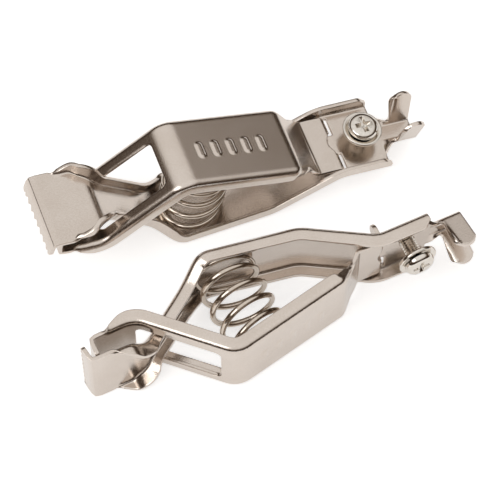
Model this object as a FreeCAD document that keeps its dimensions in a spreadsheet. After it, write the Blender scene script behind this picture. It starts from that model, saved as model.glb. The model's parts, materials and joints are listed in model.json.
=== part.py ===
import FreeCAD, Part
import math
import os

# A pair of stamped-steel spring clips for clamping battery and test leads.
# Each clip is modelled in its own frame: X runs to the cable end, Y across the width and
# Z from the terminal half's plate to the window half's plate.  The hinge line, where the
# window half's tabs drop through the terminal half's slots, is the Y axis of that frame.

VECTOR = FreeCAD.Vector
X_AXIS = VECTOR(1, 0, 0)
Y_AXIS = VECTOR(0, 1, 0)
Z_AXIS = VECTOR(0, 0, 1)

FAR = 60.0            # well clear of every face of a clip
THROUGH = 12.0        # height of a cutter that goes right through a plate
OPEN_END = 5.0        # how far a channel's inner space is carried past its ends
BEND_SHARE = 0.45     # most of a straight that one bend may take up

# name, value in mm or degrees
SIZES = [
    ("gauge", 0.8),                   # sheet thickness of both halves
    # outer radii of the transverse bends, from the cable end to the jaws
    ("tongue_bend", 1.2),
    ("window_rear_bend", 3.0),
    ("window_front_bend", 5.0),
    ("lower_jaw_bend", 4.5),
    ("kink_bend", 5.0),
    ("knee_bend", 9.0),
    ("terminal_front_bend", 5.5),
    ("upper_jaw_bend", 2.4),
    ("hinge_play", 0.12),             # gap under the tongue and around each tab
    # window half: outer face of its plate
    ("window_half_width", 7.5),
    ("window_front_x", -34.5),
    ("window_front_z", 10.6),
    ("window_rear_x", -10.5),
    ("window_rear_z", 5.8),
    ("window_flange", 2.8),
    ("tongue_front_x", -5.25),
    ("facet_widening_x", -7.5),
    ("tongue_end_x", 0.0),
    ("tongue_side_gap", 0.7),         # tongue to the inside of the terminal half's flanges
    ("tab_width", 3.4),
    ("tab_drop", 3.9),
    ("tab_inset", 0.23),              # tab from the side of the tongue
    ("slot_rear_gap", 0.78),          # slot carried on behind the tab
    ("waist_radius", 2.6),
    ("waist_depth", 1.1),
    ("rear_swell_start", 3.2),        # flange rises behind the window half's rear bend
    ("rear_swell_end", 2.5),
    ("bend_relief", 2.4),             # flange edge cuts the corner inside a bend
    ("jaw_fade", 5.4),                # length over which a flange fades along a jaw
    ("opening_rear_gap", 3.4),        # plate left between the front bend and the opening
    ("opening_corner", 1.2),
    ("rail_width", 2.75),
    ("rail_fit", 0.35),               # side gap between a rail and the neck
    ("lower_jaw_rear_x", -48.6),
    ("lower_jaw_z", -3.6),
    ("strip_gap", 0.7),               # between the two tip strips
    ("strip_inset", 0.4),             # lower strip, narrower than its jaw
    # terminal half: outer face of its plate
    ("terminal_half_width", 7.5),
    ("terminal_end_x", 9.25),
    ("kink_x", -0.75),
    ("knee_x", -13.25),
    ("knee_z", -8.4),
    ("terminal_front_x", -32.35),
    ("terminal_front_z", -11.7),
    ("terminal_flange", 3.2),
    ("neck_flange", 2.7),
    ("jaw_hump", 3.5),                # flange height where the upper jaw begins
    ("end_flange", 1.65),             # flange height at the plate's end
    ("end_flange_run", 1.5),
    ("neck_end_x", -37.5),
    ("jaw_flare_start", 2.0),         # neck begins to widen before the jaw's bend
    ("jaw_flare", 4.6),               # length over which it widens to the jaw
    ("upper_jaw_rear_x", -48.75),
    ("upper_jaw_z", 0.7),
    ("upper_jaw_tip_x", -59.0),
    ("jaw_half_width", 7.7),
    ("strip_height", 3.75),
    ("strip_slant", 8.0),             # upper jaw's tip strip, forward of square
    ("tooth_pitch", 1.7),
    ("tooth_depth", 0.75),
    # wire crimp behind the terminal plate
    ("crimp_root_half_width", 4.0),
    ("crimp_neck_half_width", 2.6),
    ("crimp_front_x", 12.4),
    ("crimp_length", 4.1),
    ("crimp_ear_height", 7.3),
    ("crimp_ear_lean", 12.0),
    # terminal screw and its captive washer
    ("screw_x", 5.3),
    ("screw_major", 2.95),
    ("screw_fit", 0.05),
    ("screw_length", 6.7),            # under the head
    ("standing_screw_lift", 2.9),     # plate to washer, screw backed out
    ("lying_screw_lift", 3.8),
    ("head_diameter", 5.8),
    ("head_top_diameter", 4.9),
    ("head_height", 1.5),
    ("recess_width", 0.85),
    ("recess_span", 3.5),
    ("recess_depth", 0.9),
    ("washer_diameter", 7.6),
    ("washer_thickness", 0.7),
    # compression spring
    ("spring_side_gap", 0.5) ,        # spring to the inside of the terminal half's flanges
    ("spring_wire", 1.1),
    ("spring_turns", 5.5),
    ("spring_x", -28.2),
    ("spring_seat_gap", 0.15),
    # raised marks on the window half's plate
    ("mark_count", 5),
    ("mark_pitch", 3.2),
    ("mark_length", 3.2),
    ("mark_width", 1.2),
    ("mark_height", 0.18),
    ("mark_root", 0.3),               # how far a mark reaches into the plate
    ("mark_centre_x", -22.4),
    # how the two clips lie on the ground
    ("standing_yaw", 20.5),
    ("lying_yaw", 25.7),
    ("hinge_apart_x", 8.57),          # lying clip's hinge line from the standing clip's
    ("hinge_apart_y", -24.07),
]


def make_sheet(doc):
    sheet = doc.addObject("Spreadsheet::Sheet", "Sizes")
    for row, (name, value) in enumerate(SIZES, start=1):
        sheet.set("A%d" % row, name)
        sheet.set("B%d" % row, str(value))
        sheet.setAlias("B%d" % row, name)
    doc.recompute()
    return sheet


def rounded_path(points, radii):
    """Edges of a line through (x, z) points whose corners are tangent arcs."""
    corners = [VECTOR(x, 0, z) for x, z in points]
    edges = []
    start = corners[0]
    for before, corner, after, radius in zip(corners, corners[1:], corners[2:], radii):
        arrive = (corner - before).normalize()
        leave = (after - corner).normalize()
        turn = arrive.getAngle(leave)
        room = BEND_SHARE * min((corner - before).Length, (after - corner).Length)
        cut = min(radius * math.tan(turn / 2), room)
        first = corner - arrive * cut
        last = corner + leave * cut
        bow = cut * (1 - math.cos(turn / 2)) / math.sin(turn / 2)
        middle = corner + (leave - arrive).normalize() * bow
        edges.append(Part.LineSegment(start, first).toShape())
        edges.append(Part.Arc(first, middle, last).toShape())
        start = last
    edges.append(Part.LineSegment(start, corners[-1]).toShape())
    return edges


def offset_line(points, distance):
    """The same line moved sideways: distance is positive towards +Z for a line run to -X."""
    result = []
    for index, (x, z) in enumerate(points):
        normals = []
        for a, b in ((index - 1, index), (index, index + 1)):
            if a < 0 or b >= len(points):
                continue
            dx = points[b][0] - points[a][0]
            dz = points[b][1] - points[a][1]
            length = math.hypot(dx, dz)
            normals.append((dz / length, -dx / length))
        nx = sum(normal[0] for normal in normals) / len(normals)
        nz = sum(normal[1] for normal in normals) / len(normals)
        scale = distance / (nx * nx + nz * nz)
        result.append((x + nx * scale, z + nz * scale))
    return result


def closed_face(edges, tail):
    """Face bounded by the edges and by straight lines through the (x, z) tail points."""
    last = edges[-1].Vertexes[-1].Point
    first = edges[0].Vertexes[0].Point
    ring = [last] + [VECTOR(x, 0, z) for x, z in tail] + [first]
    lines = []
    for a, b in zip(ring, ring[1:]):
        if a.distanceToPoint(b) > 1e-6:
            lines.append(Part.LineSegment(a, b).toShape())
    wire = Part.Wire(Part.__sortEdges__(edges + lines))
    return Part.Face(wire)


def across(face, half_width):
    """The face pushed out to both sides of the middle plane."""
    face.translate(VECTOR(0, -half_width, 0))
    return face.extrude(VECTOR(0, 2 * half_width, 0))


def plan_solid(stations, inset, height):
    """Upright solid with the half-widths of (x, half_width) stations, less an inset."""
    side = [(x, width - inset) for x, width in stations]
    ring = [VECTOR(x, y, -height) for x, y in side]
    ring += [VECTOR(x, -y, -height) for x, y in reversed(side)]
    wire = Part.makePolygon(ring + ring[:1])
    return Part.Face(wire).extrude(VECTOR(0, 0, 2 * height))


def stretched(stations, reach):
    """Stations carried on past both ends, so that a cut leaves the ends open."""
    first_x, first_width = stations[0]
    last_x, last_width = stations[-1]
    step = math.copysign(reach, last_x - first_x)
    return [(first_x - step, first_width)] + stations + [(last_x + step, last_width)]


def inner_radii(points, radii, gauge, side):
    """Radii of the inner face: less the gauge where the bend closes on it, else more."""
    result = []
    for (xa, za), (xb, zb), (xc, zc), radius in zip(points, points[1:], points[2:], radii):
        turn = (xb - xa) * (zc - zb) - (zb - za) * (xc - xb)
        result.append(radius + math.copysign(gauge, turn * side))
    return result


def bent_channel(outer_line, flange_line, stations, gauge, radii, side):
    """Sheet that follows outer_line, with flanges on one side out to flange_line."""
    body = closed_face(rounded_path(outer_line, radii), list(reversed(flange_line)))
    body = across(body, FAR).common(plan_solid(stations, 0, FAR))
    inner_line = offset_line(outer_line, side * gauge)
    closer = inner_radii(outer_line, radii, gauge, side)
    start_x, start_z = inner_line[0]
    end_x, end_z = inner_line[-1]
    inner_line[0] = (start_x + OPEN_END, start_z)
    inner_line[-1] = (end_x - OPEN_END, end_z)
    roof = [(end_x - OPEN_END, side * FAR), (start_x + OPEN_END, side * FAR)]
    room = closed_face(rounded_path(inner_line, closer), roof)
    room = across(room, FAR).common(plan_solid(stretched(stations, OPEN_END), gauge, FAR))
    return body.cut(room)


def plate_height(line, x):
    """Z of a line of (x, z) points, listed towards -X, at x."""
    for (x_a, z_a), (x_b, z_b) in zip(line, line[1:]):
        if x_b <= x <= x_a:
            return z_a + (z_b - z_a) * (x - x_a) / (x_b - x_a)
    return line[-1][1] if x < line[-1][0] else line[0][1]


def flange_edge(line, heights, side):
    """Flange edge: (x, height) stations measured square to the plate."""
    result = []
    for x, height in heights:
        before = plate_height(line, x + 0.01)
        after = plate_height(line, x - 0.01)
        slope = math.hypot(0.02, before - after) / 0.02
        result.append((x, plate_height(line, x) + side * height * slope))
    return result


def swell(start_x, end_x, low, high):
    """Stations of a height that rises along a quarter wave from low to high."""
    steps = 4
    result = []
    for step in range(steps + 1):
        share = step / steps
        rise = math.sin(share * math.pi / 2)
        result.append((start_x + (end_x - start_x) * share, low + (high - low) * rise))
    return result


def flare(start_x, end_x, narrow, wide):
    """Stations of a half-width that widens along an S curve."""
    steps = 5
    result = []
    for step in range(steps + 1):
        share = step / steps
        eased = share * share * (3 - 2 * share)
        result.append((start_x + (end_x - start_x) * share, narrow + (wide - narrow) * eased))
    return result


def tongue_half_width(size):
    return size.terminal_half_width - size.gauge - size.tongue_side_gap


def tab_centre(size):
    return tongue_half_width(size) - size.tab_inset - size.tab_width / 2


def neck_half_width(size):
    return size.window_half_width - size.rail_width - size.rail_fit


def lower_tip_x(size):
    """Front of the lower strip, which closes behind the upper one."""
    return size.upper_jaw_tip_x + size.gauge + size.strip_gap


def tooth_cutters(size, x, z):
    """Round scallops along the edge of a tip strip."""
    count = int(2 * size.jaw_half_width / size.tooth_pitch) + 1
    cutters = []
    for index in range(count + 1):
        y = (index - count / 2) * size.tooth_pitch
        centre = VECTOR(x - size.gauge, y, z)
        cutters.append(Part.makeCylinder(size.tooth_depth, 3 * size.gauge, centre, X_AXIS))
    return Part.makeCompound(cutters)


def window_half_blank(size):
    """Handle plate, two rails round the opening and the lower jaw, in one sheet."""
    gauge = size.gauge
    tongue_top = gauge + size.hinge_play
    line = [
        (size.tongue_end_x, tongue_top),
        (size.tongue_front_x, tongue_top),
        (size.window_rear_x, size.window_rear_z),
        (size.window_front_x, size.window_front_z),
        (size.lower_jaw_rear_x, size.lower_jaw_z),
        (lower_tip_x(size), size.lower_jaw_z),
    ]
    flange = size.window_flange
    rise_start = size.window_rear_x + size.rear_swell_start
    rise_end = size.window_rear_x - size.rear_swell_end
    fade = swell(size.lower_jaw_rear_x - size.jaw_fade, size.lower_jaw_rear_x, gauge, flange)
    heights = [(size.tongue_end_x, gauge), (size.tongue_front_x, gauge)]
    heights += swell(rise_start, rise_end, gauge, flange)
    heights += [
        (size.window_front_x + size.bend_relief, flange),
        (size.window_front_x - size.bend_relief, flange),
    ]
    heights += fade[::-1]
    heights += [(lower_tip_x(size), gauge)]
    stations = [
        (size.tongue_end_x, tongue_half_width(size)),
        (size.facet_widening_x, tongue_half_width(size)),
        (size.window_rear_x, size.window_half_width),
        (size.lower_jaw_rear_x, size.window_half_width),
        (lower_tip_x(size), size.window_half_width - size.strip_inset),
    ]
    edge = flange_edge(line, heights, -1)
    radii = [size.tongue_bend, size.window_rear_bend, size.window_front_bend, size.lower_jaw_bend]
    channel = bent_channel(line, edge, stations, gauge, radii, -1)
    return channel, line


def tip_strip(size, x, z_low, z_high, half_width, teeth_z):
    """Upright strip with scalloped teeth along one edge."""
    strip = Part.makeBox(size.gauge, 2 * half_width, z_high - z_low, VECTOR(x, -half_width, z_low))
    return strip.cut(tooth_cutters(size, x, teeth_z))


def opening_cutter(size):
    """Prism that clears the rectangular opening for the terminal half's neck."""
    dx = size.lower_jaw_rear_x - size.window_front_x
    dz = size.lower_jaw_z - size.window_front_z
    length = math.hypot(dx, dz)
    half = size.window_half_width - size.rail_width
    reach = length - size.opening_rear_gap
    cutter = Part.makeBox(reach, 2 * half, THROUGH, VECTOR(0, -half, -THROUGH / 2))
    corners = [edge for edge in cutter.Edges if abs(edge.tangentAt(0).z) > 0.99]
    cutter = cutter.makeFillet(size.opening_corner, corners)
    cutter.rotate(VECTOR(0, 0, 0), Y_AXIS, -math.degrees(math.atan2(dz, dx)))
    along = size.opening_rear_gap / length
    cutter.translate(VECTOR(size.window_front_x + dx * along, 0, size.window_front_z + dz * along))
    return cutter


def hinge_tab(size, side):
    """Rounded tab that drops from the tongue through a slot."""
    gauge = size.gauge
    half = size.tab_width / 2
    top = gauge + size.hinge_play
    x = size.tongue_end_x - gauge
    y = side * tab_centre(size)
    low = half - size.tab_drop
    tab = Part.makeBox(gauge, size.tab_width, top - low, VECTOR(x, y - half, low))
    end = Part.makeCylinder(half, gauge, VECTOR(x, y, low), X_AXIS)
    return tab.fuse(end)


def raised_marks(size, line):
    """Row of plain raised ribs on the handle plate."""
    slope = math.atan2(size.window_rear_z - size.window_front_z, size.window_rear_x - size.window_front_x)
    depth = size.mark_root
    marks = []
    for index in range(int(size.mark_count)):
        offset = (index - (size.mark_count - 1) / 2) * size.mark_pitch
        x = size.mark_centre_x + offset * math.cos(slope)
        z = plate_height(line, x)
        height = depth + size.mark_height
        corner = VECTOR(-size.mark_width / 2, -size.mark_length / 2, -depth)
        pad = Part.makeBox(size.mark_width, size.mark_length, height, corner)
        pad.rotate(VECTOR(0, 0, 0), Y_AXIS, -math.degrees(slope))
        pad.translate(VECTOR(x, 0, z))
        marks.append(pad)
    return marks


def window_half_shape(size):
    blank, line = window_half_blank(size)
    half = blank.cut(opening_cutter(size))
    tip_width = size.window_half_width - size.strip_inset
    tip_x = lower_tip_x(size)
    top = size.upper_jaw_z - size.gauge - size.hinge_play
    low = size.lower_jaw_z - size.gauge
    half = half.fuse(tip_strip(size, tip_x, low, top, tip_width, top))
    waist_x = size.tongue_end_x + size.waist_radius - size.waist_depth
    waist = Part.makeCylinder(size.waist_radius, THROUGH, VECTOR(waist_x, 0, -THROUGH / 2), Z_AXIS)
    half = half.cut(waist)
    for side in (-1, 1):
        half = half.fuse(hinge_tab(size, side))
    for mark in raised_marks(size, line):
        half = half.fuse(mark)
    return half.removeSplitter()


def terminal_half_blank(size):
    """Terminal plate, handle plate, neck and upper jaw, in one sheet."""
    gauge = size.gauge
    line = [
        (size.terminal_end_x, -gauge),
        (size.kink_x, -gauge),
        (size.knee_x, size.knee_z),
        (size.terminal_front_x, size.terminal_front_z),
        (size.upper_jaw_rear_x, size.upper_jaw_z - gauge),
        (size.upper_jaw_tip_x, size.upper_jaw_z - gauge),
    ]
    flange = size.terminal_flange
    neck = size.neck_flange
    neck_width = neck_half_width(size)
    fade = swell(size.upper_jaw_rear_x - size.jaw_fade, size.upper_jaw_rear_x, gauge, size.jaw_hump)
    widening = size.upper_jaw_rear_x + size.jaw_flare_start
    heights = [
        (size.terminal_end_x, size.end_flange),
        (size.terminal_end_x - size.end_flange_run, flange),
        (size.kink_x, flange),
        (size.knee_x, flange),
        (size.terminal_front_x + size.bend_relief, neck),
        (size.terminal_front_x - size.bend_relief, neck),
        (widening, neck),
    ]
    heights += fade[::-1]
    heights += [(size.upper_jaw_tip_x, gauge)]
    stations = [
        (size.terminal_end_x, size.terminal_half_width),
        (size.terminal_front_x, size.terminal_half_width),
        (size.neck_end_x, neck_width),
    ]
    stations += flare(widening, widening - size.jaw_flare, neck_width, size.jaw_half_width)
    stations += [(size.upper_jaw_tip_x, size.jaw_half_width)]
    edge = flange_edge(line, heights, 1)
    radii = [size.kink_bend, size.knee_bend, size.terminal_front_bend, size.upper_jaw_bend]
    return bent_channel(line, edge, stations, gauge, radii, 1)


def crimp_shape(size):
    """Narrow neck and two leaning ears that fold over the wire."""
    gauge = size.gauge
    half = size.crimp_neck_half_width
    crimp_end_x = size.crimp_front_x + size.crimp_length
    stations = [
        (crimp_end_x, half),
        (size.crimp_front_x, half),
        (size.terminal_end_x - gauge, size.crimp_root_half_width),
    ]
    neck = plan_solid(stations, 0, gauge / 2)
    neck.translate(VECTOR(0, 0, -gauge / 2))
    lean = math.tan(math.radians(size.crimp_ear_lean))
    ears = neck
    for side in (-1, 1):
        low = -gauge
        high = size.crimp_ear_height
        shift = (high - low) * lean
        ring = [
            VECTOR(size.crimp_front_x, side * (half - gauge), low),
            VECTOR(size.crimp_front_x, side * half, low),
            VECTOR(size.crimp_front_x, side * (half + shift), high),
            VECTOR(size.crimp_front_x, side * (half + shift - gauge), high),
        ]
        ear = Part.Face(Part.makePolygon(ring + ring[:1])).extrude(VECTOR(size.crimp_length, 0, 0))
        radius = size.crimp_length / 2
        corner = VECTOR(size.crimp_front_x, -FAR, low)
        centre = VECTOR(size.crimp_front_x + radius, -FAR, high - radius)
        crown = Part.makeCylinder(radius, 2 * FAR, centre, Y_AXIS)
        stem = Part.makeBox(size.crimp_length, 2 * FAR, high - radius - low, corner)
        ears = ears.fuse(ear.common(crown.fuse(stem)))
    return ears


def terminal_half_shape(size):
    gauge = size.gauge
    half = terminal_half_blank(size)
    low = size.upper_jaw_z - size.strip_height
    strip = tip_strip(size, size.upper_jaw_tip_x, low, size.upper_jaw_z, size.jaw_half_width, low)
    strip.rotate(VECTOR(size.upper_jaw_tip_x, 0, size.upper_jaw_z), Y_AXIS, size.strip_slant)
    half = half.fuse(strip).fuse(crimp_shape(size))
    slot_front = size.tongue_end_x - gauge - size.hinge_play
    slot_length = gauge + size.hinge_play + size.slot_rear_gap
    slot_width = size.tab_width + 4 * size.hinge_play
    for side in (-1, 1):
        y = side * tab_centre(size) - slot_width / 2
        slot = Part.makeBox(slot_length, slot_width, THROUGH, VECTOR(slot_front, y, -THROUGH / 2))
        half = half.cut(slot)
    bore_radius = size.screw_major / 2 + size.screw_fit
    foot = VECTOR(size.screw_x, 0, -THROUGH / 2)
    bore = Part.makeCylinder(bore_radius, THROUGH, foot, Z_AXIS)
    return half.cut(bore).removeSplitter()


def bound(obj, **expressions):
    for name, expression in expressions.items():
        obj.setExpression(name.replace("__", "."), expression)


def bound_cylinder(doc, name, radius, height, x, z):
    part = doc.addObject("Part::Cylinder", name)
    bound(part, Radius=radius, Height=height, Placement__Base__x=x, Placement__Base__z=z)
    return part


def make_washer(doc, clip):
    """Captive flat washer under the screw head."""
    low = "Sizes.%s_screw_lift" % clip
    disc = bound_cylinder(doc, clip + "_washer_disc", "Sizes.washer_diameter / 2",
                          "Sizes.washer_thickness", "Sizes.screw_x", low)
    hole = bound_cylinder(doc, clip + "_washer_hole", "Sizes.screw_major / 2 + 2 * Sizes.screw_fit",
                          "Sizes.washer_thickness + 2", "Sizes.screw_x", low + " - 1")
    washer = doc.addObject("Part::Cut", clip + "_clip_washer")
    washer.Base = disc
    washer.Tool = hole
    return washer


def make_screw(doc, clip):
    """Pan head with a cross recess on a threaded shank, drawn at its major diameter."""
    seat = "(Sizes.%s_screw_lift + Sizes.washer_thickness)" % clip
    shank = bound_cylinder(doc, clip + "_screw_shank", "Sizes.screw_major / 2",
                           "Sizes.screw_length", "Sizes.screw_x", seat + " - Sizes.screw_length")
    head = doc.addObject("Part::Cone", clip + "_screw_head")
    bound(head, Radius1="Sizes.head_diameter / 2", Radius2="Sizes.head_top_diameter / 2",
          Height="Sizes.head_height", Placement__Base__x="Sizes.screw_x", Placement__Base__z=seat)
    solid = doc.addObject("Part::MultiFuse", clip + "_screw_blank")
    solid.Shapes = [shank, head]
    floor = seat + " + Sizes.head_height - Sizes.recess_depth"
    bars = []
    spans = (("long", "recess_span", "recess_width"), ("cross", "recess_width", "recess_span"))
    for name, span_x, span_y in spans:
        bar = doc.addObject("Part::Box", clip + "_recess_" + name)
        bound(bar, Length="Sizes." + span_x, Width="Sizes." + span_y, Height="Sizes.recess_depth + 1",
              Placement__Base__x="Sizes.screw_x - Sizes.%s / 2" % span_x,
              Placement__Base__y="-Sizes.%s / 2" % span_y, Placement__Base__z=floor)
        bars.append(bar)
    recess = doc.addObject("Part::MultiFuse", clip + "_screw_recess")
    recess.Shapes = bars
    screw = doc.addObject("Part::Cut", clip + "_clip_screw")
    screw.Base = solid
    screw.Tool = recess
    return screw


def spring_radius(size):
    return size.terminal_half_width - size.gauge - size.spring_side_gap


def spring_seats(size):
    """Z of the two plates' inner faces where the spring stands, when it is at rest."""
    lower_slope = (size.knee_z - size.terminal_front_z) / (size.knee_x - size.terminal_front_x)
    upper_slope = (size.window_rear_z - size.window_front_z) / (size.window_rear_x - size.window_front_x)
    lower = size.terminal_front_z + lower_slope * (size.spring_x - size.terminal_front_x)
    upper = size.window_front_z + upper_slope * (size.spring_x - size.window_front_x)
    reach = spring_radius(size)
    low = lower + size.gauge * math.hypot(1, lower_slope) + reach * abs(lower_slope)
    high = upper - size.gauge * math.hypot(1, upper_slope) - reach * abs(upper_slope)
    return low + size.spring_seat_gap, high - size.spring_seat_gap


def spring_shape(size):
    """Round-wire helix that stands between the two handle plates."""
    low, high = spring_seats(size)
    wire = size.spring_wire / 2
    mean = spring_radius(size) - wire
    rise = high - low - 2 * wire
    helix = Part.makeLongHelix(rise / size.spring_turns, rise, mean)
    start = helix.Edges[0].valueAt(helix.Edges[0].FirstParameter)
    tangent = helix.Edges[0].tangentAt(helix.Edges[0].FirstParameter)
    circle = Part.Wire(Part.makeCircle(wire, start, tangent))
    coil = Part.Wire(helix.Edges).makePipeShell([circle], True, True)
    if coil.Volume < 0:
        coil.reverse()
    coil.translate(VECTOR(size.spring_x, 0, low + wire))
    return coil


def placements(size):
    """Where each clip lies: one flat on its terminal half, one on its side."""
    slope = math.atan2(size.knee_z - size.terminal_front_z, size.knee_x - size.terminal_front_x)
    level = FreeCAD.Rotation(Y_AXIS, math.degrees(slope))
    foot = level.multVec(VECTOR(size.terminal_front_x, 0, size.terminal_front_z))
    yaw = FreeCAD.Rotation(Z_AXIS, size.standing_yaw)
    standing = FreeCAD.Placement(VECTOR(0, 0, -foot.z), yaw * level)
    side = FreeCAD.Rotation(Z_AXIS, size.lying_yaw) * FreeCAD.Rotation(X_AXIS, 90)
    rest = max(size.jaw_half_width, size.window_half_width, size.terminal_half_width)
    apart = VECTOR(size.hinge_apart_x, size.hinge_apart_y, rest)
    lying = FreeCAD.Placement(apart, side)
    return {"standing": standing, "lying": lying}


def make_feature(doc, name, shape, placement):
    feature = doc.addObject("Part::Feature", name)
    feature.Shape = shape
    feature.Placement = placement * shape.Placement
    return feature


def centre_on_origin(nodes):
    """Moves the pair level until the middle of its box is over the origin."""
    box = FreeCAD.BoundBox()
    for node in nodes:
        box.add(node.Shape.optimalBoundingBox(False))
    shift = FreeCAD.Placement(VECTOR(-box.Center.x, -box.Center.y, 0), FreeCAD.Rotation())
    for node in nodes:
        node.Placement = shift * node.Placement


def main():
    doc = FreeCAD.newDocument("SpringClips")
    size = make_sheet(doc)
    nodes = []
    shapes = {
        "window_half": window_half_shape(size),
        "terminal_half": terminal_half_shape(size),
        "spring": spring_shape(size),
    }
    for clip, placement in placements(size).items():
        for part_name, shape in shapes.items():
            nodes.append(make_feature(doc, "%s_clip_%s" % (clip, part_name), shape, placement))
        for maker in (make_screw, make_washer):
            node = maker(doc, clip)
            node.Placement = placement
            nodes.append(node)
    doc.recompute()
    centre_on_origin(nodes)
    doc.recompute()
    for obj in doc.Objects:
        if "Invalid" in obj.State or "Error" in obj.State:
            raise RuntimeError("%s failed to compute" % obj.Name)
    os.makedirs("parts", exist_ok=True)
    for node in nodes:
        if node.Shape.isNull() or not node.Shape.isValid() or len(node.Shape.Solids) != 1:
            raise RuntimeError("%s is not one valid solid" % node.Name)
        node.Shape.exportStep("parts/%s.step" % node.Name)
        print(node.Name, "volume %.2f" % node.Shape.Volume, node.Placement)


main()
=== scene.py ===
import json
import math

import bmesh
import bpy
from mathutils import Matrix, Vector


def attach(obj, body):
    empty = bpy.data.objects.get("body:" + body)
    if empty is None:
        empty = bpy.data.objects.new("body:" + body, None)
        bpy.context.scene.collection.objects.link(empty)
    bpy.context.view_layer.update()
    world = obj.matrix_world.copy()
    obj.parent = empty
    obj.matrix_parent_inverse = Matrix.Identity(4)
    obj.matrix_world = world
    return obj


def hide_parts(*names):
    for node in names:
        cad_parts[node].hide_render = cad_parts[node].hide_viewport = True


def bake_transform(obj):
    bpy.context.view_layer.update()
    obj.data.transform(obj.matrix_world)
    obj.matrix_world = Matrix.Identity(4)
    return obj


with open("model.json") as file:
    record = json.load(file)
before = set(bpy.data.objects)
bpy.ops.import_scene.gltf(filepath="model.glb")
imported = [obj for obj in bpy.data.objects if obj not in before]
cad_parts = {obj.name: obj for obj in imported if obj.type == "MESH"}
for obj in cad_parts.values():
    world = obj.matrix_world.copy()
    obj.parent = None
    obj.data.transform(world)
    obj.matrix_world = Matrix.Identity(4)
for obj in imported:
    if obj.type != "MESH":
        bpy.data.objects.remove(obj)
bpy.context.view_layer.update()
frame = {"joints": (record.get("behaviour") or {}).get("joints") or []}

# Sizes are in millimetres in a clip's own frame: x runs to the cable end, y across the
# width and z from the terminal half's plate to the window half's plate.  The hinge line,
# where the window half's tabs drop through the terminal half's slots, is the y axis.
MM = 0.001
CLIPS = ("standing", "lying")
TINY = 0.001

# pressed sheet
GAUGE = 0.8
FLANGE_BEND = 1.3
FOLD_BEND = 0.3
RIM_ROUNDING = 0.12
ROW_STEP = 0.36
ROW_TURN = math.radians(7)
EASING = 0.55
MERGE = 0.09
PIVOT_SETBACK = 0.45

# window half: outer face of the plate that carries the raised marks
TONGUE_TOP = 0.92
TAB_REACH = 3.9
TAB_BEND = 0.9
TAB_CENTRE = 4.07
TAB_WIDTH = 3.4
TAB_FILLET = 0.4
TONGUE_FRONT = -5.25
FACET_WIDENING = -7.5
RISE_START = -7.3
RISE_END = -13.0
TONGUE_REAR = -0.55
TONGUE_HALF_WIDTH = 6.0
WINDOW_REAR = (-10.5, 5.8)
WINDOW_FRONT = (-34.5, 10.598)
WINDOW_HALF_WIDTH = 7.5
WINDOW_FLANGE = 2.8
OPENING_REAR_GAP = 3.4
OPENING_HALF_WIDTH = 4.75
OPENING_CORNER = 1.2
LOWER_JAW_REAR = -48.6
LOWER_JAW_TOP = -3.6
JAW_FADE = 5.4
STRIP_NARROWING = -51.6
STRIP_INSET = 0.4
LOWER_STRIP = -56.7
LOWER_STRIP_TOP = -0.22
WAIST_DEPTH = 0.7
WAIST_RADIUS = 2.6

# terminal half: outer face of the plate that carries the screw
TERMINAL_FACE = -0.8
TERMINAL_END = 9.25
TERMINAL_HALF_WIDTH = 7.5
TERMINAL_FLANGE = 3.2
END_FLANGE = 1.65
END_RISE = 1.5
KINK = -0.75
KNEE = (-13.25, -8.4)
TERMINAL_FRONT = (-32.35, -11.7)
NECK_START = -31.6
NECK_END = -38.4
NECK_FLANGE = 2.7
NECK_LEVEL = -30.35
NECK_HALF_WIDTH = 4.4
JAW_HUMP = 3.5
FLARE_START = -46.75
FLARE_END = -51.35
BEYOND_TIP = -60.0
UPPER_JAW_REAR = -48.75
UPPER_JAW_FACE = -0.1
UPPER_STRIP = -58.3
UPPER_STRIP_LENGTH = 3.05
STRIP_SLANT = math.radians(8)
JAW_HALF_WIDTH = 7.7
SLOT_FRONT = -0.92
SLOT_REAR = 0.78
SLOT_WIDTH = 3.88
TOOTH_PITCH = 1.7
TOOTH_DEPTH = 0.75
STRIP_CORNER = 1.0

# wire crimp
CRIMP_FRONT = 12.4
CRIMP_END = 16.35
CRIMP_ROOT = 4.0
CRIMP_NECK = 2.9
CRIMP_FLAT = 1.4
CRIMP_BEND = 1.2
CRIMP_LEAN = math.radians(78)
EAR_REACH = 10.15
EAR_CORNER = 1.95

# raised marks
MARK_COUNT = 5
MARK_PITCH = 3.2
MARK_LENGTH = 3.2
MARK_WIDTH = 1.2
MARK_EDGE = 0.3
MARK_CORNER = 0.55
MARK_HEIGHT = 0.18
MARK_CENTRE = -22.4

# screw and washer
SCREW_X = 5.3
SCREW_LIFT = {"standing": 2.9, "lying": 3.8}
SCREW_MAJOR = 1.475
SCREW_MINOR = 1.2
SCREW_PITCH = 0.5
SCREW_FIT = 0.05
WASHER_HIGH = 0.7
SCREW_END = WASHER_HIGH - 6.7
WASHER_RADIUS = 3.8
HEAD_RADIUS = 2.9
HEAD_TOP_RADIUS = 2.45
HEAD_HEIGHT = 1.5
RECESS_SPAN = 3.5
RECESS_WIDTH = 0.85
RECESS_DEPTH = 0.9

# spring
SPRING_X = -28.2
SPRING_RADIUS = 5.65
SPRING_WIRE = 0.56
SPRING_GAP = 0.35
SPRING_CLOSED_TURNS = 0.75
SPRING_OPEN_TURNS = 4.0
SPRING_STEPS = 44

joints = {joint["name"]: joint for joint in frame["joints"]}


def clip_frame(clip):
    """Matrix from a clip's own millimetres to the row frame's metres."""
    squeeze = joints[clip + "_squeeze"]
    across = -Vector(squeeze["axis"])
    up = Vector(joints[clip + "_screw_travel"]["axis"])
    along = across.cross(up)
    turn = Matrix((along, across, up)).transposed().to_4x4()
    origin = Vector(squeeze["pos_m"]) + along * PIVOT_SETBACK * MM
    return Matrix.Translation(origin) @ turn @ Matrix.Scale(MM, 4)


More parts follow.
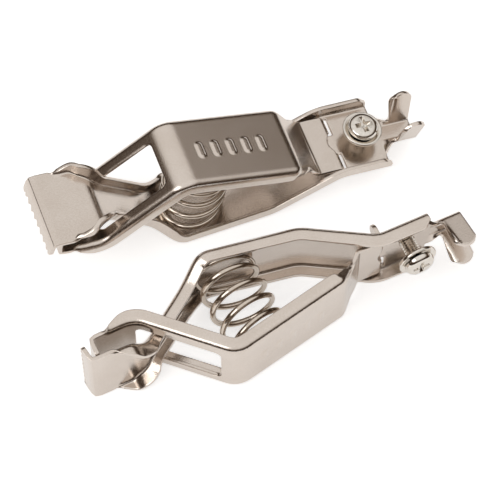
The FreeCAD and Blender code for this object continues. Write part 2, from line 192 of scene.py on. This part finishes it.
class Line:
    """Outer face of a sheet in a clip's middle plane: (x, z) corners joined by tangent arcs."""

    def __init__(self, corners, radii, side):
        corners = [Vector(corner) for corner in corners]
        self.side = side
        self.spans = []
        self.length = 0.0
        start = corners[0]
        for before, corner, after, radius in zip(corners, corners[1:], corners[2:], radii):
            arrive = (corner - before).normalized()
            leave = (after - corner).normalized()
            turn = math.atan2(arrive.x * leave.y - arrive.y * leave.x, arrive.dot(leave))
            cut = radius * math.tan(abs(turn) / 2)
            bend = corner - arrive * cut
            self.add(start, arrive, (bend - start).length, 0.0)
            self.add(bend, arrive, radius * abs(turn), math.copysign(1 / radius, turn))
            start = corner + leave * cut
        self.add(start, corners[-1] - start, (corners[-1] - start).length, 0.0)

    def add(self, start, heading, length, curvature):
        self.spans.append((self.length, length, start, math.atan2(heading.y, heading.x), curvature))
        self.length += length

    def at(self, place):
        """Point at a distance along the line, and the direction through the sheet there."""
        for begin, length, point, angle, curvature in self.spans:
            if place <= begin + length:
                break
        heading = angle + curvature * (place - begin)
        if curvature:
            move = Vector((math.sin(heading) - math.sin(angle), math.cos(angle) - math.cos(heading)))
            move /= curvature
        else:
            move = Vector((math.cos(angle), math.sin(angle))) * (place - begin)
        return point + move, self.side * Vector((math.sin(heading), -math.cos(heading)))

    def reach(self, x):
        """Distance along the line at which it passes x."""
        low, high = 0.0, self.length
        for _ in range(40):
            middle = (low + high) / 2
            if self.at(middle)[0].x > x:
                low = middle
            else:
                high = middle
        return high


def rows_along(line, fine):
    """Places of a sheet's rows: close in bends and in the (first, last, step) fine spans."""
    places = {0.0}
    for begin, length, _, _, curvature in line.spans:
        count = max(1, math.ceil(length / ROW_STEP), math.ceil(abs(curvature) * length / ROW_TURN))
        places.update(begin + length * index / count for index in range(1, count + 1))
    for first, last, step in fine:
        places = {place for place in places if not first - step / 2 < place < last + step / 2}
        count = math.ceil((last - first) / step)
        places.update(first + (last - first) * index / count for index in range(count + 1))
    return sorted(places)


def columns_across(spans):
    """Shares of the half-width from one edge to the other, from (first, last, count) spans."""
    half = [0.0]
    for first, last, count in spans:
        half += [first + (last - first) * index / count for index in range(1, count + 1)]
    return [-share for share in reversed(half[1:])] + half


def eased(stations, x):
    """Value at x of a line through (x, value) stations, with its corners rounded off."""
    total = 0.0
    for shift in (-1.0, -0.5, 0.0, 0.5, 1.0):
        at = min(max(x + shift * EASING, stations[-1][0]), stations[0][0])
        for (x_a, a), (x_b, b) in zip(stations, stations[1:]):
            if x_b <= at:
                total += a + (b - a) * (x_a - at) / (x_a - x_b)
                break
    return total / 5


def smooth(share):
    share = min(max(share, 0.0), 1.0)
    return share * share * (3 - 2 * share)


def swell(start, end, low, high):
    """Stations of a height that rises along a quarter wave from low to high."""
    return [
        (start + (end - start) * step / 4, low + (high - low) * math.sin(step * math.pi / 8))
        for step in range(5)
    ]


def flare(start, end, narrow, wide):
    """Stations of a half-width that widens along an S curve."""
    return [
        (start + (end - start) * step / 5, narrow + (wide - narrow) * smooth(step / 5))
        for step in range(6)
    ]


def folded(across, flat, radius, angle):
    """Place across the width and depth of a point of the unfolded sheet."""
    if across <= flat:
        return across, 0.0
    turned = min((across - flat) / radius, angle)
    straight = across - flat - radius * turned
    y = flat + radius * math.sin(turned) + straight * math.cos(turned)
    return y, radius * (1 - math.cos(turned)) + straight * math.sin(turned)


def channel(half_width, height):
    """Flat part, bend radius, bend angle and unfolded half-width of a flanged section."""
    if height >= FLANGE_BEND:
        angle = math.pi / 2
        straight = height - FLANGE_BEND
    else:
        angle = math.acos(min(1.0, (FLANGE_BEND - height) / (FLANGE_BEND - GAUGE)))
        straight = 0.0
    flat = half_width - FLANGE_BEND * math.sin(angle)
    return flat, FLANGE_BEND, math.pi / 2, flat + FLANGE_BEND * angle + straight


def box_gap(place, across, middle, half_size, corner):
    """Distance from a point of the flat sheet to a rounded rectangle, negative inside."""
    over_x = abs(place - middle[0]) - half_size[0] + corner
    over_y = abs(across - middle[1]) - half_size[1] + corner
    outside = math.hypot(max(over_x, 0.0), max(over_y, 0.0))
    return outside + min(max(over_x, over_y), 0.0) - corner


def joined(a, b, blend):
    """Union of two distances kept positive inside, with the inner corner filleted."""
    share = max(blend - abs(a - b), 0.0) / blend
    return max(a, b) + share * share * blend / 4


def blank(rows, columns, reach):
    """Flat sheet: x is the place along the line and y the unfolded distance from the middle."""
    sheet = bmesh.new()
    bmesh.ops.create_grid(sheet, x_segments=len(rows) - 1, y_segments=len(columns) - 1, size=1)
    for vert in sheet.verts:
        row = rows[round((vert.co.x + 1) / 2 * (len(rows) - 1))]
        column = columns[round((vert.co.y + 1) / 2 * (len(columns) - 1))]
        vert.co = (row, column * reach(row), 0)
    return sheet


def pierce(sheet, keep):
    """Cuts away where keep is negative and moves the new edge onto its zero line."""
    waste = [face for face in sheet.faces if keep(*face.calc_center_median().xy) < 0]
    rim = {vert for face in waste for vert in face.verts}
    bmesh.ops.delete(sheet, geom=waste, context="FACES")
    for vert in rim:
        for _ in range(3 if vert.is_valid else 0):
            x, y = vert.co.xy
            gap = keep(x, y)
            slope_x = (keep(x + TINY, y) - gap) / TINY
            slope_y = (keep(x, y + TINY) - gap) / TINY
            steep = max(slope_x * slope_x + slope_y * slope_y, 0.2)
            vert.co.x -= gap * slope_x / steep
            vert.co.y -= gap * slope_y / steep
    rim = [vert for vert in rim if vert.is_valid]
    bmesh.ops.remove_doubles(sheet, verts=rim, dist=MERGE)
    bmesh.ops.dissolve_degenerate(sheet, edges=sheet.edges, dist=MERGE / 2)


def press(sheet, line, section, relief):
    """Folds the flat sheet along its line and up or down at its sides."""
    for vert in sheet.verts:
        place, across = vert.co.xy
        point, inward = line.at(place)
        y, depth = folded(abs(across), *section(place)[:3])
        point = point + inward * (depth - relief(place, across))
        vert.co = (point.x, math.copysign(y, across), point.y)
    if line.side < 0:
        bmesh.ops.reverse_faces(sheet, faces=sheet.faces)


def tooth_wave(across):
    """Depth of the scalloped edge of a tip strip."""
    return TOOTH_DEPTH * (0.5 + 0.5 * math.cos(2 * math.pi * across / TOOTH_PITCH))


def strip_edge(line, half_width):
    """Keeps a tip strip inside its scalloped end and its rounded corners."""

    def keep(place, across):
        over_x = STRIP_CORNER - (line.length - place)
        over_y = abs(across) - half_width + STRIP_CORNER
        if over_x > 0 and over_y > 0:
            return STRIP_CORNER - math.hypot(over_x, over_y)
        return line.length - tooth_wave(across) - place

    return keep


def window_half():
    """Marked handle plate, two rails round the opening, lower jaw, tongue and two tabs."""
    strip_half = WINDOW_HALF_WIDTH - STRIP_INSET
    corners = [
        (0, -TAB_REACH),
        (0, TONGUE_TOP),
        (TONGUE_FRONT, TONGUE_TOP),
        WINDOW_REAR,
        WINDOW_FRONT,
        (LOWER_JAW_REAR, LOWER_JAW_TOP),
        (LOWER_STRIP, LOWER_JAW_TOP),
        (LOWER_STRIP, LOWER_STRIP_TOP),
    ]
    line = Line(corners, [TAB_BEND, 1.2, 3.0, 5.0, 4.5, FOLD_BEND], -1)
    widths = [
        (0, TONGUE_HALF_WIDTH),
        (FACET_WIDENING, TONGUE_HALF_WIDTH),
        (WINDOW_REAR[0], WINDOW_HALF_WIDTH),
        (STRIP_NARROWING, WINDOW_HALF_WIDTH),
        (LOWER_STRIP, strip_half),
    ]
    heights = [
        (0, GAUGE),
        *swell(RISE_START, RISE_END, GAUGE, WINDOW_FLANGE),
        *reversed(swell(LOWER_JAW_REAR - JAW_FADE, LOWER_JAW_REAR, GAUGE, WINDOW_FLANGE)),
        (LOWER_STRIP, GAUGE),
    ]

    def section(place):
        x = line.at(place)[0].x
        return channel(eased(widths, x), eased(heights, x))

    run = Vector(WINDOW_FRONT) - Vector((LOWER_JAW_REAR, LOWER_JAW_TOP))
    rear = line.reach(WINDOW_FRONT[0] - run.normalized().x * OPENING_REAR_GAP)
    front = line.reach(LOWER_JAW_REAR)
    tongue_rear = line.reach(TONGUE_REAR)
    waist = tongue_rear + WAIST_DEPTH - WAIST_RADIUS

    def keep(place, across):
        middle = ((rear + front) / 2, 0)
        half_size = ((front - rear) / 2, OPENING_HALF_WIDTH)
        inside = min(
            box_gap(place, across, middle, half_size, OPENING_CORNER),
            math.hypot(place - waist, across) - WAIST_RADIUS,
            strip_edge(line, strip_half)(place, across),
        )
        tab = (0.5 * line.reach(-1.5), TAB_CENTRE)
        tab_half = (0.5 * line.reach(-1.5), TAB_WIDTH / 2)
        in_tab = -box_gap(place, abs(across), tab, tab_half, TAB_WIDTH / 2)
        return min(inside, joined(place - tongue_rear, in_tab, TAB_FILLET))

    marks = line.reach(MARK_CENTRE)

    def relief(place, across):
        step = round((place - marks) / MARK_PITCH)
        if abs(step) > MARK_COUNT // 2 or abs(across) > MARK_LENGTH:
            return 0.0
        middle = (marks + step * MARK_PITCH, 0)
        gap = box_gap(place, across, middle, (MARK_WIDTH / 2, MARK_LENGTH / 2), MARK_CORNER)
        return MARK_HEIGHT * smooth(0.5 - gap / (2 * MARK_EDGE))

    half_row = MARK_COUNT * MARK_PITCH / 2
    fine = [
        (marks - half_row, marks + half_row, 0.14),
        (line.length - 1.6, line.length, 0.16),
    ]
    columns = columns_across([(0, 0.235, 16), (0.235, 1.0, 26)])
    sheet = blank(rows_along(line, fine), columns, lambda place: section(place)[3])
    pierce(sheet, keep)
    press(sheet, line, section, relief)
    return sheet


def terminal_half():
    """Plain handle plate, terminal plate, neck through the opening, upper jaw and wire crimp."""
    fall = Vector((-math.sin(STRIP_SLANT), -math.cos(STRIP_SLANT)))
    tip = Vector((UPPER_STRIP, UPPER_JAW_FACE))
    corners = [
        (CRIMP_END, TERMINAL_FACE),
        (KINK, TERMINAL_FACE),
        KNEE,
        TERMINAL_FRONT,
        (UPPER_JAW_REAR, UPPER_JAW_FACE),
        tip,
        tip + fall * UPPER_STRIP_LENGTH,
    ]
    line = Line(corners, [5.0, 9.0, 5.5, 2.4, FOLD_BEND], 1)
    widths = [
        (TERMINAL_END, TERMINAL_HALF_WIDTH),
        *flare(NECK_START, NECK_END, TERMINAL_HALF_WIDTH, NECK_HALF_WIDTH),
        *flare(FLARE_START, FLARE_END, NECK_HALF_WIDTH, JAW_HALF_WIDTH),
        (BEYOND_TIP, JAW_HALF_WIDTH),
    ]
    heights = [
        (TERMINAL_END, END_FLANGE),
        (TERMINAL_END - END_RISE, TERMINAL_FLANGE),
        (NECK_LEVEL, NECK_FLANGE),
        (FLARE_START, NECK_FLANGE),
        *reversed(swell(UPPER_JAW_REAR - JAW_FADE, UPPER_JAW_REAR, GAUGE, JAW_HUMP)),
        (BEYOND_TIP, GAUGE),
    ]
    end = line.reach(TERMINAL_END)
    ear_front = line.reach(CRIMP_FRONT)

    def section(place):
        x = line.at(place)[0].x
        if place >= end - TINY:
            return channel(eased(widths, x), eased(heights, x))
        share = smooth((end - place) / (end - ear_front + 0.6))
        reach = channel(TERMINAL_HALF_WIDTH, END_FLANGE)[3]
        return CRIMP_FLAT, CRIMP_BEND, share * CRIMP_LEAN, reach + (EAR_REACH + 0.3 - reach) * share

    slot_middle = (line.reach(SLOT_FRONT) + line.reach(SLOT_REAR)) / 2
    slot_half = (line.reach(SLOT_FRONT) - line.reach(SLOT_REAR)) / 2
    bore = line.reach(SCREW_X)
    strip = strip_edge(line, JAW_HALF_WIDTH)

    def keep(place, across):
        widening = smooth((place - ear_front) / (end - ear_front))
        half_width = CRIMP_NECK + (CRIMP_ROOT - CRIMP_NECK) * widening
        neck = joined(half_width - abs(across), place - end, 1.6)
        ear = -box_gap(place, across, (ear_front / 2, 0), (ear_front / 2, EAR_REACH), EAR_CORNER)
        return min(
            joined(neck, ear, 1.2),
            box_gap(place, abs(across), (slot_middle, TAB_CENTRE), (slot_half, SLOT_WIDTH / 2), 0.2),
            math.hypot(place - bore, across) - SCREW_MAJOR - SCREW_FIT,
            strip(place, across),
        )

    fine = [
        (end - 0.6, end, 0.2),
        (bore - 1.8, bore + 1.8, 0.2),
        (line.length - 1.6, line.length, 0.16),
    ]
    columns = columns_across([(0, 0.2, 10), (0.2, 1.0, 32)])
    sheet = blank(rows_along(line, fine), columns, lambda place: section(place)[3])
    pierce(sheet, keep)
    press(sheet, line, section, lambda place, across: 0.0)
    return sheet


def baked_mesh(source, name, add_modifiers):
    """Mesh of a bmesh after modifiers."""
    mesh = bpy.data.meshes.new(name)
    source.to_mesh(mesh)
    source.free()
    piece = bpy.data.objects.new(name, mesh)
    bpy.context.scene.collection.objects.link(piece)
    add_modifiers(piece)
    graph = bpy.context.evaluated_depsgraph_get()
    baked = bpy.data.meshes.new_from_object(piece.evaluated_get(graph))
    bpy.data.objects.remove(piece)
    return baked


def add_bevel(piece, width, segments):
    bevel = piece.modifiers.new("rounded_rims", "BEVEL")
    bevel.width = width
    bevel.segments = segments
    bevel.limit_method = "ANGLE"
    bevel.angle_limit = math.radians(50)
    bevel.use_clamp_overlap = False
    bevel.loop_slide = False


def sheet_metal(piece):
    """Gives the sheet its gauge and rounds its rims."""
    wall = piece.modifiers.new("gauge", "SOLIDIFY")
    wall.thickness = GAUGE
    wall.offset = -1
    wall.use_quality_normals = True
    add_bevel(piece, RIM_ROUNDING, 2)


def spring():
    """Round-wire coil with closed ends, standing square to both handle plates."""
    lower_slope = (KNEE[1] - TERMINAL_FRONT[1]) / (KNEE[0] - TERMINAL_FRONT[0])
    upper_slope = (WINDOW_REAR[1] - WINDOW_FRONT[1]) / (WINDOW_REAR[0] - WINDOW_FRONT[0])
    lower = TERMINAL_FRONT[1] + lower_slope * (SPRING_X - TERMINAL_FRONT[0])
    upper = WINDOW_FRONT[1] + upper_slope * (SPRING_X - WINDOW_FRONT[0])
    clear = GAUGE + SPRING_GAP + SPRING_WIRE
    low = lower + clear * math.hypot(1, lower_slope)
    high = upper - clear * math.hypot(1, upper_slope)
    rise = high - low
    closed = 2.2 * SPRING_WIRE * SPRING_CLOSED_TURNS
    coil = bmesh.new()
    wire = bmesh.ops.create_circle(coil, segments=14, radius=SPRING_WIRE)
    bmesh.ops.rotate(coil, verts=wire["verts"], cent=(0, 0, 0), matrix=Matrix.Rotation(math.pi / 2, 3, "X"))
    bmesh.ops.translate(coil, verts=wire["verts"], vec=(SPRING_RADIUS, 0, 0))
    ring = list(coil.verts) + list(coil.edges)
    stages = (
        (SPRING_CLOSED_TURNS, closed),
        (SPRING_OPEN_TURNS, rise - 2 * closed),
        (SPRING_CLOSED_TURNS, closed),
    )
    for turns, climb in stages:
        steps = round(turns * SPRING_STEPS)
        spun = bmesh.ops.spin(coil, geom=ring, cent=(0, 0, 0), axis=(0, 0, 1), dvec=(0, 0, climb / steps),
                              angle=turns * 2 * math.pi, steps=steps, use_duplicate=False)
        ring = spun["geom_last"]
    bmesh.ops.remove_doubles(coil, verts=coil.verts, dist=TINY)
    bmesh.ops.holes_fill(coil, edges=[edge for edge in coil.edges if edge.is_boundary])
    bmesh.ops.recalc_face_normals(coil, faces=coil.faces)
    tilt_low = math.atan(lower_slope)
    tilt_high = math.atan(upper_slope)
    for vert in coil.verts:
        share = vert.co.z / rise
        tilt = tilt_low + (tilt_high - tilt_low) * share
        x = SPRING_X + vert.co.x * math.cos(tilt)
        vert.co = (x, vert.co.y, low + rise * share + vert.co.x * math.sin(tilt))
    ends = (Vector((SPRING_X, 0, low)), Vector((SPRING_X, 0, high)))
    return coil, ends


def turned(profile, steps):
    """Solid of revolution about the z axis from (radius, z) points, closed on themselves."""
    solid = bmesh.new()
    verts = [solid.verts.new((radius, 0, z)) for radius, z in profile]
    edges = [solid.edges.new(pair) for pair in zip(verts, verts[1:])]
    if profile[0][0] > 0:
        edges.append(solid.edges.new((verts[-1], verts[0])))
    bmesh.ops.spin(solid, geom=verts + edges, cent=(0, 0, 0), axis=(0, 0, 1), dvec=(0, 0, 0),
                   angle=2 * math.pi, steps=steps, use_merge=True, use_duplicate=False)
    bmesh.ops.remove_doubles(solid, verts=solid.verts, dist=TINY)
    bmesh.ops.recalc_face_normals(solid, faces=solid.faces)
    return solid


def washer():
    """Captive flat washer."""
    inner = SCREW_MAJOR + 2 * SCREW_FIT
    dish = 0.72 * WASHER_HIGH
    profile = [
        (inner, 0),
        (WASHER_RADIUS, 0),
        (WASHER_RADIUS, WASHER_HIGH),
        (WASHER_RADIUS - 0.45, WASHER_HIGH),
        (HEAD_RADIUS + 0.1, dish),
        (inner, dish),
    ]
    return turned(profile, 96)


def screw_core():
    """Shank and pan head of the terminal screw."""
    top = WASHER_HIGH + HEAD_HEIGHT
    profile = [
        (0, SCREW_END),
        (SCREW_MINOR - 0.25, SCREW_END),
        (SCREW_MINOR, SCREW_END + 0.3),
        (SCREW_MINOR, WASHER_HIGH),
        (HEAD_RADIUS - 0.3, WASHER_HIGH),
        (HEAD_RADIUS, WASHER_HIGH + 0.22 * HEAD_HEIGHT),
        (HEAD_RADIUS, WASHER_HIGH + 0.5 * HEAD_HEIGHT),
        (HEAD_RADIUS - 0.15, WASHER_HIGH + 0.7 * HEAD_HEIGHT),
        (HEAD_TOP_RADIUS, top - 0.12),
        (0.8 * HEAD_TOP_RADIUS, top - 0.03),
        (0, top),
    ]
    return turned(profile, 96)


def cross_recess():
    """Tapered cross that the head's recess is cut with."""
    cutter = bmesh.new()
    top = WASHER_HIGH + HEAD_HEIGHT
    for turn in (0, math.pi / 2):
        bar = bmesh.ops.create_cube(cutter, size=1)["verts"]
        bmesh.ops.scale(cutter, verts=bar, vec=(RECESS_SPAN, RECESS_WIDTH, 2 * RECESS_DEPTH))
        low = [vert for vert in bar if vert.co.z < 0]
        high = [vert for vert in bar if vert.co.z > 0]
        bmesh.ops.scale(cutter, verts=low, vec=(0.45, 0.7, 1))
        bmesh.ops.scale(cutter, verts=high, vec=(1.55, 1.3, 1))
        bmesh.ops.rotate(cutter, verts=bar, cent=(0, 0, 0), matrix=Matrix.Rotation(turn, 3, "Z"))
        bmesh.ops.translate(cutter, verts=bar, vec=(0, 0, top))
    return cutter


def thread():
    """Helical ridge round the shank, closed at both ends."""
    ridge = bmesh.new()
    root = SCREW_MINOR - 0.06
    flank = 0.46 * SCREW_PITCH
    crest = 0.07 * SCREW_PITCH
    shape = [(root, -flank), (SCREW_MAJOR, -crest), (SCREW_MAJOR, crest), (root, flank)]
    low = SCREW_END + 0.45
    verts = [ridge.verts.new((radius, 0, low + z)) for radius, z in shape]
    edges = [ridge.edges.new(pair) for pair in zip(verts, verts[1:] + verts[:1])]
    turns = (WASHER_HIGH - low - flank) / SCREW_PITCH
    steps = round(turns * 36)
    bmesh.ops.spin(ridge, geom=verts + edges, cent=(0, 0, 0), axis=(0, 0, 1), angle=turns * 2 * math.pi,
                   dvec=(0, 0, SCREW_PITCH * turns / steps), steps=steps, use_duplicate=False)
    bmesh.ops.holes_fill(ridge, edges=[edge for edge in ridge.edges if edge.is_boundary])
    bmesh.ops.recalc_face_normals(ridge, faces=ridge.faces)
    return ridge


def head_recess(piece):
    """Cuts the cross recess and rounds the head's edges."""
    mesh = bpy.data.meshes.new("recess_cutter")
    cutter = cross_recess()
    cutter.to_mesh(mesh)
    cutter.free()
    tool = bpy.data.objects.new("recess_cutter", mesh)
    bpy.context.scene.collection.objects.link(tool)
    cut = piece.modifiers.new("recess", "BOOLEAN")
    cut.operation = "DIFFERENCE"
    cut.solver = "EXACT"
    cut.use_self = True
    cut.object = tool
    add_bevel(piece, 0.1, 3)


def screw_mesh():
    """Head, shank and thread in one mesh."""
    core = baked_mesh(screw_core(), "screw_core", head_recess)
    bpy.data.objects.remove(bpy.data.objects["recess_cutter"])
    whole = bmesh.new()
    whole.from_mesh(core)
    ridge = baked_mesh(thread(), "thread", lambda piece: None)
    whole.from_mesh(ridge)
    for face in whole.faces:
        face.material_index = int(face.calc_center_median().z < 0)
    whole.to_mesh(core)
    whole.free()
    return core


def node(tree, kind, **settings):
    made = tree.nodes.new(kind)
    for name, value in settings.items():
        if name in made.inputs:
            made.inputs[name].default_value = value
        else:
            setattr(made, name, value)
    return made


def plated(name, pale, deep, roughness, grain, bump):
    """Plated steel: slightly uneven tone and gloss with a fine granular surface."""
    material = bpy.data.materials.new(name)
    material.use_nodes = True
    tree = material.node_tree
    link = tree.links.new
    surface = tree.nodes["Principled BSDF"]
    surface.inputs["Metallic"].default_value = 1.0
    where = node(tree, "ShaderNodeTexCoord").outputs["Object"]
    cloud = node(tree, "ShaderNodeTexNoise", Scale=140.0, Detail=2.0)
    link(where, cloud.inputs["Vector"])
    tone = node(tree, "ShaderNodeMix", data_type="RGBA")
    tone.inputs["A"].default_value = (*pale, 1)
    tone.inputs["B"].default_value = (*deep, 1)
    link(tone.outputs["Result"], surface.inputs["Base Color"])
    fine = node(tree, "ShaderNodeTexNoise", Scale=grain, Detail=3.0)
    link(where, fine.inputs["Vector"])
    speckle = node(tree, "ShaderNodeMapRange")
    speckle.inputs["From Min"].default_value = 0.75
    speckle.inputs["From Max"].default_value = 1.25
    both = node(tree, "ShaderNodeMath", operation="ADD")
    link(cloud.outputs["Fac"], both.inputs[0])
    link(fine.outputs["Fac"], both.inputs[1])
    link(both.outputs[0], speckle.inputs["Value"])
    link(speckle.outputs["Result"], tone.inputs["Factor"])
    gloss = node(tree, "ShaderNodeMapRange")
    gloss.inputs["From Min"].default_value = 0.3
    gloss.inputs["From Max"].default_value = 0.7
    gloss.inputs["To Min"].default_value = roughness * 0.85
    gloss.inputs["To Max"].default_value = roughness * 1.2
    link(fine.outputs["Fac"], gloss.inputs["Value"])
    link(gloss.outputs["Result"], surface.inputs["Roughness"])
    relief = node(tree, "ShaderNodeBump", Strength=bump, Distance=0.00006)
    link(fine.outputs["Fac"], relief.inputs["Height"])
    link(relief.outputs["Normal"], surface.inputs["Normal"])
    return material


SHEET_NICKEL = plated("nickel_plated_sheet", (0.72, 0.65, 0.59), (0.66, 0.585, 0.52), 0.185, 4200.0, 0.26)
WIRE_NICKEL = plated("nickel_plated_wire", (0.70, 0.62, 0.54), (0.60, 0.52, 0.44), 0.1, 2600.0, 0.08)
HEAD_NICKEL = plated("bright_nickel_screw", (0.80, 0.76, 0.70), (0.72, 0.67, 0.61), 0.09, 2600.0, 0.05)
SHANK_NICKEL = plated("warm_screw_thread", (0.72, 0.58, 0.40), (0.60, 0.46, 0.30), 0.2, 2600.0, 0.1)


def placed(name, mesh, matrix, materials, node_name):
    """Piece that stands for a CAD node, with its place in its mesh."""
    mesh = mesh.copy()
    mesh.name = name
    mesh.transform(matrix)
    mesh.materials.clear()
    for material in materials:
        mesh.materials.append(material)
    mesh.shade_smooth()
    mesh.set_sharp_from_angle(angle=math.radians(42))
    piece = bpy.data.objects.new(name, mesh)
    bpy.context.scene.collection.objects.link(piece)
    weighted = piece.modifiers.new("flat_faces_stay_flat", "WEIGHTED_NORMAL")
    weighted.keep_sharp = True
    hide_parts(node_name)
    return piece


def make_clips():
    window = baked_mesh(window_half(), "window_half", sheet_metal)
    terminal = baked_mesh(terminal_half(), "terminal_half", sheet_metal)
    coil, spring_ends = spring()
    coil = baked_mesh(coil, "spring", lambda piece: None)
    disc = baked_mesh(washer(), "washer", lambda piece: add_bevel(piece, 0.16, 3))
    screw = screw_mesh()
    for clip in CLIPS:
        matrix = clip_frame(clip)
        over_bore = matrix @ Matrix.Translation((SCREW_X, 0, SCREW_LIFT[clip]))
        cad = clip + "_clip_"
        half = placed(clip + "_window_sheet", window, matrix, [SHEET_NICKEL],
                      cad + "window_half")
        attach(half, clip + "_window")
        half = placed(clip + "_terminal_sheet", terminal, matrix, [SHEET_NICKEL],
                      cad + "terminal_half")
        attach(half, clip + "_terminal")
        wire = placed(clip + "_coil", coil, matrix, [WIRE_NICKEL], cad + "spring")
        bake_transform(wire)
        ring = placed(clip + "_washer_disc", disc, over_bore, [HEAD_NICKEL], cad + "washer")
        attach(ring, clip + "_washer")
        turned_screw = placed(clip + "_pan_screw", screw, over_bore, [HEAD_NICKEL, SHANK_NICKEL],
                              cad + "screw")
        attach(turned_screw, clip + "_screw")


def seen_directly(tree):
    """1 for rays from the camera and through glass, part of it for rays from metal, else 0."""
    path = node(tree, "ShaderNodeLightPath")
    share = node(tree, "ShaderNodeMath", operation="MULTIPLY")
    share.inputs[1].default_value = 0.65
    tree.links.new(path.outputs["Is Glossy Ray"], share.inputs[0])
    either = node(tree, "ShaderNodeMath", operation="MAXIMUM")
    tree.links.new(path.outputs["Is Camera Ray"], either.inputs[0])
    tree.links.new(share.outputs[0], either.inputs[1])
    total = node(tree, "ShaderNodeMath", operation="MAXIMUM")
    tree.links.new(either.outputs[0], total.inputs[0])
    tree.links.new(path.outputs["Is Transmission Ray"], total.inputs[1])
    return total.outputs[0]


def make_floor():
    """Pale floor that shows white and keeps the shadow."""
    plane = bmesh.new()
    bmesh.ops.create_grid(plane, x_segments=1, y_segments=1, size=2.0)
    bmesh.ops.translate(plane, verts=plane.verts, vec=(0, 0, -0.00005))
    mesh = bpy.data.meshes.new("floor")
    plane.to_mesh(mesh)
    plane.free()
    floor = bpy.data.objects.new("floor", mesh)
    bpy.context.scene.collection.objects.link(floor)
    material = bpy.data.materials.new("pale_floor")
    material.use_nodes = True
    tree = material.node_tree
    tree.nodes.clear()
    matte = node(tree, "ShaderNodeBsdfDiffuse", Color=(0.82, 0.82, 0.82, 1))
    lift = node(tree, "ShaderNodeEmission")
    strength = node(tree, "ShaderNodeMath", operation="MULTIPLY")
    strength.inputs[1].default_value = 0.6
    tree.links.new(seen_directly(tree), strength.inputs[0])
    tree.links.new(strength.outputs[0], lift.inputs["Strength"])
    both = node(tree, "ShaderNodeAddShader")
    tree.links.new(matte.outputs[0], both.inputs[0])
    tree.links.new(lift.outputs[0], both.inputs[1])
    out = node(tree, "ShaderNodeOutputMaterial")
    tree.links.new(both.outputs[0], out.inputs["Surface"])
    mesh.materials.append(material)


def make_studio():
    """White backdrop, a bright ceiling over a darker room, and one soft overhead lamp."""
    world = bpy.data.worlds.new("studio")
    world.use_nodes = True
    bpy.context.scene.world = world
    tree = world.node_tree
    tree.nodes.clear()
    link = tree.links.new
    way = node(tree, "ShaderNodeTexCoord")
    parts = node(tree, "ShaderNodeSeparateXYZ")
    link(way.outputs["Generated"], parts.inputs[0])
    ramp = node(tree, "ShaderNodeValToRGB")
    dark = (0.055, 0.037, 0.026)
    stops = (
        (0.0, dark),
        (0.40, dark),
        (0.50, (0.17, 0.13, 0.10)),
        (0.59, (0.56, 0.53, 0.50)),
        (0.70, (0.84, 0.82, 0.80)),
        (1.0, (0.92, 0.905, 0.89)),
    )
    while len(ramp.color_ramp.elements) < len(stops):
        ramp.color_ramp.elements.new(0.5)
    for element, (place, colour) in zip(ramp.color_ramp.elements, stops):
        element.position = place
        element.color = (*colour, 1)
    link(parts.outputs["Z"], ramp.inputs["Fac"])
    path = node(tree, "ShaderNodeLightPath")
    mix = node(tree, "ShaderNodeMix", data_type="RGBA")
    mix.inputs["B"].default_value = (1, 1, 1, 1)
    link(path.outputs["Is Camera Ray"], mix.inputs["Factor"])
    link(ramp.outputs["Color"], mix.inputs["A"])
    back = node(tree, "ShaderNodeBackground")
    link(mix.outputs["Result"], back.inputs["Color"])
    out = node(tree, "ShaderNodeOutputWorld")
    link(back.outputs[0], out.inputs["Surface"])
    lamp = bpy.data.lights.new("softbox", "AREA")
    lamp.shape = "RECTANGLE"
    lamp.size = 0.5
    lamp.size_y = 0.3
    lamp.energy = 0.8
    box = bpy.data.objects.new("softbox", lamp)
    box.location = (-0.35, -0.25, 0.5)
    box.rotation_euler = (Vector((0, 0, 0)) - box.location).to_track_quat("-Z", "Y").to_euler()
    bpy.context.scene.collection.objects.link(box)


def make_camera():
    """Long lens, from in front and well above."""
    aim = Vector((0.00023, 0.00052, 0))
    height = math.radians(62.2)
    distance = 0.5
    lens = bpy.data.cameras.new("camera")
    lens.sensor_width = 36
    lens.lens = 190.6
    lens.clip_start = 0.01
    camera = bpy.data.objects.new("camera", lens)
    camera.location = aim + distance * Vector((0, -math.cos(height), math.sin(height)))
    camera.rotation_euler = (aim - camera.location).to_track_quat("-Z", "Y").to_euler()
    bpy.context.scene.collection.objects.link(camera)
    bpy.context.scene.camera = camera


make_camera()
make_studio()
make_floor()
make_clips()
bpy.context.scene.view_settings.view_transform = "Standard"
